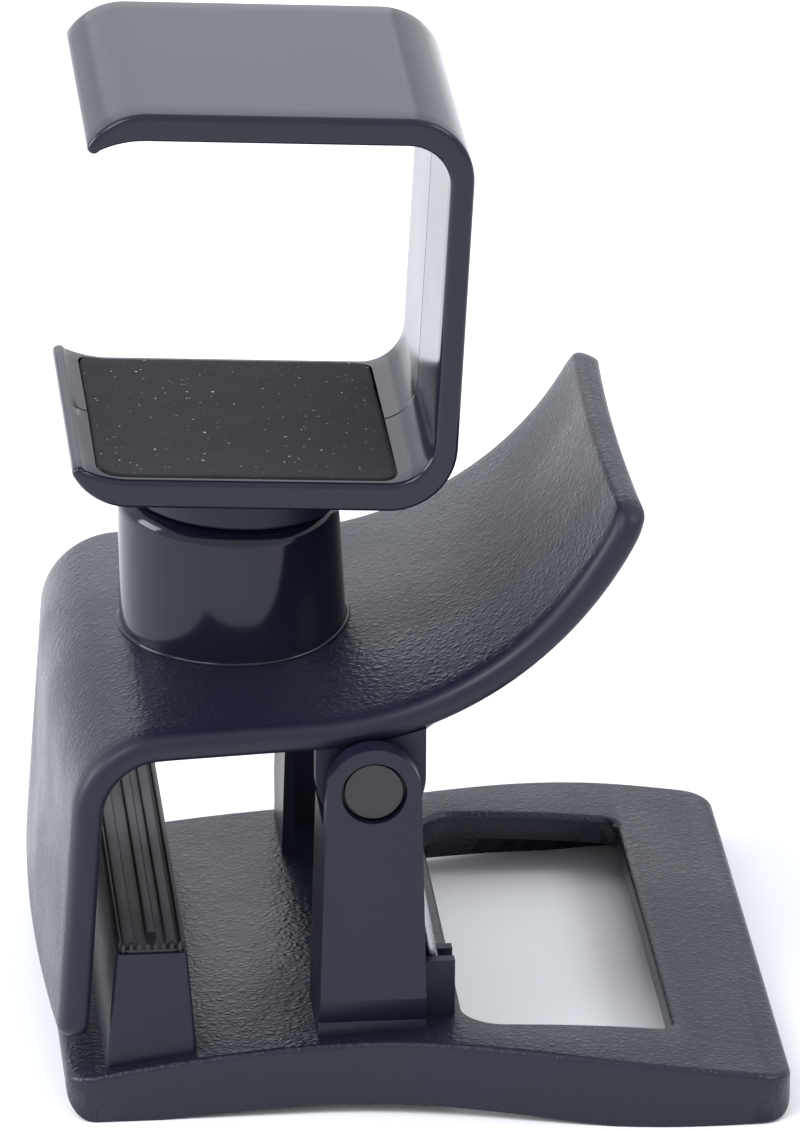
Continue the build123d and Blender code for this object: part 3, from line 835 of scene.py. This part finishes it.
@dataclass
class Base:
    """The base plate, with the hollow under its finger end."""

    left_x: float = 4.0 * MM
    right_x: float = 49.3 * MM
    skirt: float = 3.2 * MM
    skin: float = 4.3 * MM
    crown_x: float = 2.0 * MM
    crown_z: float = 11.4 * MM
    crown_r: float = 292.0 * MM
    narrow_half: float = 41.0 * MM
    wide_half: float = 49.6 * MM
    flare_start: float = -16.0 * MM
    flare_end: float = 40.0 * MM

    def half_at(self, at: Station) -> float:
        """Half the hollow's width at a station.

        Args:
            at: The station.

        Returns:
            The half width.
        """
        part = (at.x - self.flare_start) / (self.flare_end - self.flare_start)
        part = min(1.0, max(0.0, part))
        part = part * part * (3 - 2 * part)
        return self.narrow_half + (self.wide_half - self.narrow_half) * part - self.skirt

    def hollow(self) -> bpy.types.Object:
        """Builds the space under the finger end."""
        start = asin((self.left_x - self.crown_x) / self.crown_r)
        end = asin((self.right_x - self.crown_x) / self.crown_r)
        z = self.crown_z - self.crown_r * (1 - cos(start)) - self.skin
        line = Route(self.left_x, z, degrees(-start))
        line.arc(self.crown_r, degrees(start - end), 24)
        slab = Slab("hollow", 14.0 * MM, edge=1.5 * MM, corners=(3.0 * MM, 3.0 * MM))
        return slab.build(line, self.half_at)

    def build(self, shop: Workshop) -> None:
        """Builds and dresses the base plate.

        Args:
            shop: The workshop that dresses them.
        """
        mesh = frame["nodes"]["base_plate"].data.copy()
        work = bmesh.new()
        work.from_mesh(mesh)
        bmesh.ops.remove_doubles(work, verts=work.verts, dist=0.002 * MM)
        work.to_mesh(mesh)
        work.free()
        whole = bpy.data.objects.new("base_whole", mesh)
        bpy.context.scene.collection.objects.link(whole)
        tool = self.hollow()
        cut = whole.modifiers.new("hollow", "BOOLEAN")
        cut.operation = "DIFFERENCE"
        cut.solver = "EXACT"
        cut.object = tool
        piece = applied(whole, "base_skin")
        bpy.data.objects.remove(tool)
        shade(piece, 35.0)
        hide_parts("base_plate")
        shop.mount(piece, GRAINED, "base")


@dataclass
class Hook:
    """The C-shaped hook and its two foam pads, built upright and then set on the swivel."""

    depth: float = 47.5 * MM
    back_x: float = 29.3 * MM
    open_x: float = -17.2 * MM
    floor_z: float = 7.0 * MM
    height: float = 59.6 * MM
    floor_t: float = 4.3 * MM
    roof_t: float = 4.1 * MM
    wall_t: float = 3.4 * MM
    corner_r: float = 9.6 * MM
    curl_r: float = 9.4 * MM
    curl_deg: float = 60.0
    tip_t: float = 1.9 * MM
    rim_r: float = 0.85 * MM
    draft: float = 0.22 * MM
    seam: float = 0.16 * MM
    pad_t: float = 1.6 * MM
    pad_sunk: float = 1.1 * MM
    pad_margin: float = 1.6 * MM
    pad_gap: float = 0.25 * MM
    pad_back_x: float = 21.0 * MM
    pad_curl_deg: float = 16.0
    pad_corner: float = 2.6 * MM

    def place(self) -> Matrix:
        """The swivel's own frame, from its joint."""
        joint = next(j for j in frame["joints"] if j["name"] == "hook_swivel")
        turn = Vector((0, 0, 1)).rotation_difference(Vector(joint["axis"]))
        return Matrix.Translation(joint["pos_m"]) @ turn.to_matrix().to_4x4()

    def curl(self, radius: float, turn: float, side: int) -> Point2:
        """A point of a curled tip; side is 1 for the floor's and -1 for the roof's."""
        angle = radians(turn)
        edge = self.floor_z if side > 0 else self.floor_z + self.height
        return self.open_x - radius * sin(angle), edge + side * (self.curl_r - radius * cos(angle))

    def lining(self, side: int) -> tuple[Point2, float, float]:
        """A curl's inner face: where it starts, its radius and its turn in degrees.

        Args:
            side: 1 for the floor and -1 for the roof.

        Returns:
            The start, the radius and the turn.
        """
        thick = self.floor_t if side > 0 else self.roof_t
        start = self.curl(self.curl_r - thick, 0, side)
        end = self.curl(self.curl_r - self.tip_t, self.curl_deg, side)
        run = start[0] - end[0]
        rise = abs(end[1] - start[1])
        return start, (run * run + rise * rise) / (2 * rise), degrees(2 * atan2(rise, run))

    def tip(self, side: int) -> list[Point2]:
        """One curled tip's outline, from its inner face round its nose to its outer face.

        Args:
            side: 1 for the floor and -1 for the roof.

        Returns:
            The outline's points.
        """
        start, radius, turn = self.lining(side)
        inner = []
        for angle in steps(0, turn, 9):
            a = radians(angle)
            inner.append((start[0] - radius * sin(a), start[1] + side * radius * (1 - cos(a))))
        centre = self.curl(self.curl_r - self.tip_t / 2, self.curl_deg, side)
        nose = []
        for angle in steps(75, -75, 9):
            a = radians(self.curl_deg)
            across = (sin(a), side * cos(a))
            along = (-cos(a), side * sin(a))
            b = radians(angle)
            reach = self.tip_t / 2
            nose.append((
                centre[0] + reach * (across[0] * sin(b) + along[0] * cos(b)),
                centre[1] + reach * (across[1] * sin(b) + along[1] * cos(b)),
            ))
        outer = [self.curl(self.curl_r, angle, side) for angle in steps(self.curl_deg, 0, 14)]
        return inner + nose + outer

    def corner(self, radius: float, x: float, z: float, start: float, end: float) -> list[Point2]:
        """A round corner about a centre, between two angles in degrees."""
        turns = [radians(a) for a in steps(start, end, 13)]
        return [(x + radius * cos(a), z + radius * sin(a)) for a in turns]

    def outline(self) -> list[tuple[Point2, bool]]:
        """The whole outline, each point marked with whether it is on the inner face."""
        top = self.floor_z + self.height
        x = self.back_x - self.corner_r
        low = self.floor_z + self.corner_r
        high = top - self.corner_r
        inner_r = self.corner_r - self.wall_t
        floor = self.floor_z + self.floor_t + inner_r
        roof = top - self.roof_t - inner_r
        outer = self.tip(1)
        outer += [(px, self.floor_z) for px in steps(self.open_x, x, 8)[1:-1]]
        outer += self.corner(self.corner_r, x, low, -90, 0)
        outer += [(self.back_x, z) for z in steps(low, high, 8)[1:-1]]
        outer += self.corner(self.corner_r, x, high, 0, 90)
        outer += [(px, top) for px in steps(x, self.open_x, 8)[1:-1]]
        upper_tip = self.tip(-1)[::-1]
        inner = [(px, top - self.roof_t) for px in steps(self.open_x, x, 8)[1:-1]]
        inner += self.corner(inner_r, x, roof, 90, 0)
        inner += [(self.back_x - self.wall_t, z) for z in steps(roof, floor, 8)[1:-1]]
        inner += self.corner(inner_r, x, floor, 0, -90)
        inner += [(px, self.floor_z + self.floor_t) for px in steps(x, self.open_x, 8)[1:-1]]
        marked = [(p, i < 9) for i, p in enumerate(outer)]
        marked += [(p, i >= len(upper_tip) - 9) for i, p in enumerate(upper_tip)]
        return marked + [(p, True) for p in inner]

    def normals(self, points: Sequence[Point2]) -> list[Point2]:
        """Inward unit normals of a closed outline that runs anticlockwise.

        Args:
            points: The outline's points.

        Returns:
            One normal for each point.
        """
        result = []
        for i, _ in enumerate(points):
            ax, az = points[i - 1]
            bx, bz = points[(i + 1) % len(points)]
            length = hypot(bx - ax, bz - az)
            result.append(((az - bz) / length, (bx - ax) / length))
        return result

    def shell(self) -> bpy.types.Object:
        """Builds the hook's shell, with its rounded rims, its draft and its mould seam."""
        marked = self.outline()
        points = [p for p, _ in marked]
        normals = self.normals(points)
        half = self.depth / 2
        front = [(-half + self.rim_r * (1 - cos(a)), self.rim_r * (1 - sin(a)))
                 for a in steps(0, pi / 2, 7)]
        groove = 0.2 * MM
        flat = [(y, 0.0) for y in steps(-half + self.rim_r, -groove, 8)[1:]]
        stations = front + flat + [(0.0, self.seam)]
        stations += [(-y, inset) for y, inset in (front + flat)[::-1]]
        rings = []
        for y, inset in stations:
            draft = self.draft * (1 - abs(y) / half)
            ring = []
            for (x, z), (nx, nz), (_, inner) in zip(points, normals, marked):
                move = inset - (draft if inner else 0.0)
                if y == 0.0 and not inner:
                    move = 0.0
                ring.append(Vector((x + nx * move, y, z + nz * move)))
            rings.append(ring)
        return loft("hook_body", rings)

    def pad(self, name: str, side: int, grow: float) -> bpy.types.Object:
        """Builds one foam pad, or with grow the space that it lies in.

        Args:
            name: The piece's name.
            side: 1 for the floor's pad and -1 for the roof's.
            grow: How much larger than the pad it is all round.

        Returns:
            The piece.
        """
        start, radius, _ = self.lining(side)
        line = Route(self.pad_back_x + grow, start[1], 180.0)
        line.straight(self.pad_back_x + grow - self.open_x, 30)
        line.arc(radius, -side * (self.pad_curl_deg + degrees(grow / radius)), 8)
        below = self.pad_sunk if side > 0 else self.pad_t - self.pad_sunk
        line.shift(below + grow)
        slab = Slab(
            name,
            self.pad_t + 2 * grow,
            edge=0.01 * MM if grow else 0.42 * MM,
            end_round=0.0 if grow else 0.4 * MM,
            corners=(self.pad_corner, self.pad_corner),
            across=40,
        )
        half = self.depth / 2 - self.pad_margin + grow
        return slab.build(line, lambda _: half)

    def recessed(self, shell: bpy.types.Object) -> bpy.types.Object:
        """Cuts the two recesses for the pads.

        Args:
            shell: The plain shell.

        Returns:
            The cut shell.
        """
        tools = [self.pad(f"recess_{side}", side, self.pad_gap) for side in (1, -1)]
        for tool in tools:
            cut = shell.modifiers.new(tool.name, "BOOLEAN")
            cut.operation = "DIFFERENCE"
            cut.solver = "EXACT"
            cut.object = tool
        plain = applied(shell, "hook_skin")
        for tool in tools:
            bpy.data.objects.remove(tool)
        shade(plain, 32.0)
        return plain

    def foam(self, name: str, node: str, side: int) -> bpy.types.Object:
        """Builds one foam pad on the floor of its recess, a little uneven as die-cut foam is.

        Args:
            name: The piece's name.
            node: The CAD node that it stands for.
            side: 1 for the floor's pad and -1 for the roof's.

        Returns:
            The pad.
        """
        piece = self.pad(name, side, 0.0)
        for vertex in piece.data.vertices:
            lift = noise.noise(vertex.co * 170.0) * 0.07 * MM
            lift += noise.noise(vertex.co * 520.0) * 0.05 * MM
            vertex.co.z += lift - side * self.pad_gap
            vertex.co.y += noise.noise(vertex.co * 240.0) * 0.06 * MM
        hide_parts(node)
        return piece

    def build(self, shop: Workshop) -> None:
        """Builds and dresses the hook's pieces.

        Args:
            shop: The workshop that dresses them.
        """
        shell = self.recessed(self.shell())
        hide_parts("hook_shell")
        lower = self.foam("foam_lower", "pad_lower", 1)
        upper = self.foam("foam_upper", "pad_upper", -1)
        place = self.place()
        for piece, kind in ((shell, HOOK_SKIN), (lower, FOAM), (upper, FOAM)):
            piece.data.transform(place)
            shop.mount(piece, kind, "hook")


class RibTree:
    """A Geometry Nodes tree that lays a row of equal ribs, each along Y."""

    SIZES = ("Length", "Width", "Height", "Edge", "Pitch")

    def __init__(self, name: str) -> None:
        """Builds the tree.

        Args:
            name: The tree's name.
        """
        self.tree = bpy.data.node_groups.new(name, "GeometryNodeTree")
        self.tree.is_modifier = True
        face = self.tree.interface
        for size in self.SIZES:
            face.new_socket(size, in_out="INPUT", socket_type="NodeSocketFloat")
        face.new_socket("Count", in_out="INPUT", socket_type="NodeSocketInt")
        face.new_socket("Start", in_out="INPUT", socket_type="NodeSocketVector")
        face.new_socket("Finish", in_out="INPUT", socket_type="NodeSocketMaterial")
        face.new_socket("Geometry", in_out="OUTPUT", socket_type="NodeSocketGeometry")
        self.given = self.tree.nodes.new("NodeGroupInput")
        self.wire()

    def add(self, kind: str, **inputs: object) -> bpy.types.Node:
        """Adds a node and joins or sets its inputs by name.

        Args:
            kind: The node's type.
            **inputs: The values or sockets, by input name.

        Returns:
            The node.
        """
        node = self.tree.nodes.new(kind)
        for name, value in inputs.items():
            socket = node.inputs[name.replace("_", " ")]
            if isinstance(value, bpy.types.NodeSocket):
                self.tree.links.new(value, socket)
            else:
                socket.default_value = value
        return node

    def wire(self) -> None:
        """Joins the nodes: a rounded bar, repeated along a line, realised and finished."""
        given = self.given.outputs
        end = self.add("ShaderNodeCombineXYZ", Y=given["Length"])
        spine = self.add("GeometryNodeCurvePrimitiveLine", End=end.outputs[0])
        bar = self.add(
            "GeometryNodeCurvePrimitiveQuadrilateral", Width=given["Width"], Height=given["Height"]
        )
        round_bar = self.add("GeometryNodeFilletCurve", Curve=bar.outputs[0])
        self.set_fillet(round_bar, given["Edge"])
        solid = self.add(
            "GeometryNodeCurveToMesh",
            Curve=spine.outputs[0],
            Profile_Curve=round_bar.outputs[0],
            Fill_Caps=True,
        )
        step = self.add("ShaderNodeCombineXYZ", X=given["Pitch"])
        row = self.add(
            "GeometryNodeMeshLine",
            Count=given["Count"],
            Start_Location=given["Start"],
            Offset=step.outputs[0],
        )
        ribs = self.add(
            "GeometryNodeInstanceOnPoints", Points=row.outputs[0], Instance=solid.outputs[0]
        )
        real = self.add("GeometryNodeRealizeInstances", Geometry=ribs.outputs[0])
        done = self.add(
            "GeometryNodeSetMaterial", Geometry=real.outputs[0], Material=given["Finish"]
        )
        out = self.tree.nodes.new("NodeGroupOutput")
        self.tree.links.new(done.outputs[0], out.inputs[0])

    def set_fillet(self, node: bpy.types.Node, radius: bpy.types.NodeSocket) -> None:
        """Makes a fillet node round each corner with three steps.

        Args:
            node: The fillet node.
            radius: The socket that gives the radius.
        """
        node.mode = "POLY"
        node.inputs["Count"].default_value = 3
        node.inputs["Limit Radius"].default_value = True
        self.tree.links.new(radius, node.inputs["Radius"])

    def lay(
        self, name: str, finish: bpy.types.Material, values: dict[str, object]
    ) -> bpy.types.Object:
        """Lays one row of ribs as a plain mesh piece.

        Args:
            name: The piece's name.
            finish: Its material.
            values: A value for each named input.

        Returns:
            The piece.
        """
        holder = bpy.data.objects.new(name, bpy.data.meshes.new(name))
        bpy.context.scene.collection.objects.link(holder)
        ribs = holder.modifiers.new(name, "NODES")
        ribs.node_group = self.tree
        sockets = {s.name: s.identifier for s in self.tree.interface.items_tree}
        for key, value in values.items():
            ribs[sockets[key]] = value
        ribs[sockets["Finish"]] = finish
        piece = applied(holder, name)
        shade(piece)
        return piece


@dataclass
class JawPad:
    """The rubber strip on the lower jaw: a web, broad ribs and a row of short stubs."""

    web_t: float = 0.5 * MM
    height: float = 1.4 * MM
    rib_w: tuple[float, float, float] = (1.9 * MM, 1.5 * MM, 1.7 * MM)
    rib_x: tuple[float, float, float] = (1.5 * MM, 4.9 * MM, 7.6 * MM)
    edge: float = 0.35 * MM
    stub: float = 0.5 * MM
    stub_count: int = 8
    front_gap: float = 1.0 * MM
    slot_gap: float = 3.2 * MM

    def rows(self) -> list[tuple[str, dict[str, object]]]:
        """Each row of ribs by name, with the values of its inputs."""
        low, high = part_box("jaw_pad")
        length = high.y - low.y
        rib_h = self.height - self.web_t / 2
        z = high.z - rib_h / 2
        rows = []
        for i, (x, width) in enumerate(zip(self.rib_x, self.rib_w)):
            front = low.y + self.front_gap + (self.slot_gap if i == 1 else 0.0)
            start = (low.x + x, front, z)
            size = {"Length": high.y - front - 0.3 * MM, "Width": width, "Height": rib_h}
            rows.append((f"jaw_rib_{i + 1}", size | {"Start": start, "Count": 1}))
        lip = {"Length": length - 2 * self.front_gap, "Width": 0.55 * MM, "Height": rib_h}
        pitch = high.x - low.x - 0.6 * MM
        start = (low.x + 0.3 * MM, low.y + self.front_gap, z)
        rows.append(("jaw_lips", lip | {"Start": start, "Count": 2, "Pitch": pitch}))
        pitch = (high.x - low.x - 1.4 * MM) / (self.stub_count - 1)
        start = (low.x + 0.7 * MM, low.y + 0.1 * MM, high.z - self.height / 2)
        stub = {"Length": self.stub, "Width": self.stub, "Height": self.height * 0.9}
        row = {"Start": start, "Count": self.stub_count, "Pitch": pitch}
        rows.append(("jaw_stubs", stub | row))
        return rows

    def web(self) -> bpy.types.Object:
        """Builds the thin web under the ribs."""
        low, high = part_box("jaw_pad")
        line = Route(low.x, low.z + self.web_t, 0.0)
        line.straight(high.x - low.x, 6)
        slab = Slab(
            "jaw_web", self.web_t, edge=0.2 * MM, end_round=0.2 * MM,
            corners=(0.6 * MM, 0.6 * MM),
        )
        half = (high.y - low.y) / 2
        piece = slab.build(line, lambda _: half)
        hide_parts("jaw_pad")
        return piece

    def build(self, shop: Workshop) -> None:
        """Builds and dresses the strip.

        Args:
            shop: The workshop that dresses them.
        """
        tree = RibTree("jaw_rib_row")
        shop.mount(self.web(), RUBBER, "base")
        for name, values in self.rows():
            piece = tree.lay(name, shop.finish(RUBBER), {"Edge": self.edge} | values)
            shop.mount(piece, RUBBER, "base")


@dataclass
class Studio:
    """Camera, floor and soft light."""

    target: Vector = field(default_factory=lambda: Vector((0.0, 0.0, 0.06796)))
    distance: float = 1.372
    elevation: float = 23.39
    azimuth: float = -5.57
    roll: float = 0.33
    lens: float = 424.6
    sensor: float = 36.0

    def camera(self) -> None:
        """Sets the camera on a long lens, in front and a little to the left."""
        data = bpy.data.cameras.new("camera")
        data.sensor_fit = "HORIZONTAL"
        data.sensor_width = self.sensor
        data.lens = self.lens
        data.clip_start = 0.05
        data.clip_end = 30.0
        shot = bpy.data.objects.new("camera", data)
        bpy.context.scene.collection.objects.link(shot)
        turn = radians(self.azimuth)
        lift = radians(self.elevation)
        back = Vector((sin(turn) * cos(lift), -cos(turn) * cos(lift), sin(lift)))
        right = Vector((cos(turn), sin(turn), 0.0))
        up = back.cross(right)
        roll = radians(self.roll)
        across = right * cos(roll) + up * sin(roll)
        above = up * cos(roll) - right * sin(roll)
        where = self.target + back * self.distance
        basis = Matrix((across, above, back)).transposed().to_4x4()
        shot.matrix_world = Matrix.Translation(where) @ basis
        bpy.context.scene.camera = shot

    def floor(self) -> None:
        """Lays a pale floor."""
        mesh = bpy.data.meshes.new("floor")
        edge = 6.0
        corners = [(-edge, -edge, 0), (edge, -edge, 0), (edge, edge, 0), (-edge, edge, 0)]
        mesh.from_pydata([Vector(c) for c in corners], [], [(0, 1, 2, 3)])
        floor = bpy.data.objects.new("floor", mesh)
        bpy.context.scene.collection.objects.link(floor)
        material = bpy.data.materials.new("floor_paper")
        net = Net(material)
        paper = net.noise(60.0, 2.0, net.place)
        net.link(
            net.blend(paper, (0.93, 0.93, 0.93), (0.95, 0.95, 0.95)),
            net.shader.inputs["Base Color"],
        )
        net.shader.inputs["Roughness"].default_value = 0.9
        net.shader.inputs["Specular IOR Level"].default_value = 0.1
        mesh.materials.append(material)

    def softbox(self, name: str, where: Colour, aim: Colour, size: float, power: float) -> None:
        """Hangs one square soft light.

        Args:
            name: The light's name.
            where: Its place.
            aim: What it points at.
            size: Its side.
            power: Its power in watts.
        """
        data = bpy.data.lights.new(name, "AREA")
        data.shape = "SQUARE"
        data.size = size
        data.energy = power
        data.color = (0.93, 0.96, 1.0)
        lamp = bpy.data.objects.new(name, data)
        bpy.context.scene.collection.objects.link(lamp)
        lamp.location = where
        aim_from = Vector(aim) - Vector(where)
        lamp.rotation_euler = aim_from.to_track_quat("-Z", "Y").to_euler()

    def light(self) -> None:
        """Fills the room with white light and adds four soft boxes."""
        world = bpy.data.worlds.new("studio")
        bpy.context.scene.world = world
        world.use_nodes = True
        sky = world.node_tree.nodes["Background"]
        sky.inputs["Color"].default_value = (0.955, 0.975, 1.04, 1)
        sky.inputs["Strength"].default_value = 1.06
        self.softbox("key", (-0.7, -0.5, 1.1), (0, 0, 0.05), 0.6, 7.0)
        self.softbox("fill", (0.9, -0.3, 1.0), (0, 0, 0.05), 0.5, 4.0)
        self.softbox("back", (-0.1, 1.5, 0.75), (0, 0, 0.08), 0.9, 1.4)
        self.softbox("side", (-1.3, 0.1, 0.5), (-0.05, 0, 0.04), 0.6, 10.0)
        bpy.context.scene.view_settings.view_transform = "Standard"

    def build(self) -> None:
        """Sets up the whole studio."""
        self.camera()
        self.floor()
        self.light()


NODE_FINISH = {
    "base_plate": GRAINED,
    "upright_front": SATIN,
    "upright_rear": SATIN,
    "jaw_block": SATIN,
    "jaw_pad": RUBBER,
    "spring_seat_front": SATIN,
    "spring_seat_rear": SATIN,
    "hinge_pin": BLACK_STEEL,
    "pin_retainer": BLACK_STEEL,
    "spring_front": SPRING_STEEL,
    "spring_rear": SPRING_STEEL,
    "lever_plate": GRAINED,
    "ear_front": SATIN,
    "ear_rear": SATIN,
    "turret_cup": GLOSS,
    "hook_boss": SATIN,
    "hook_shell": GLOSS,
    "pad_lower": FOAM,
    "pad_upper": FOAM,
    "swivel_washer": BLACK_STEEL,
    "swivel_screw": BLACK_STEEL,
}


def main() -> None:
    """Builds the studio and every piece."""
    logging.basicConfig(level=logging.INFO)
    Studio().build()
    shop = Workshop()
    for name, kind in NODE_FINISH.items():
        shop.dress(frame["nodes"][name], kind)
    Base().build(shop)
    Lever().build(shop)
    Hook().build(shop)
    JawPad().build(shop)


if __name__ == "__main__":
    main()
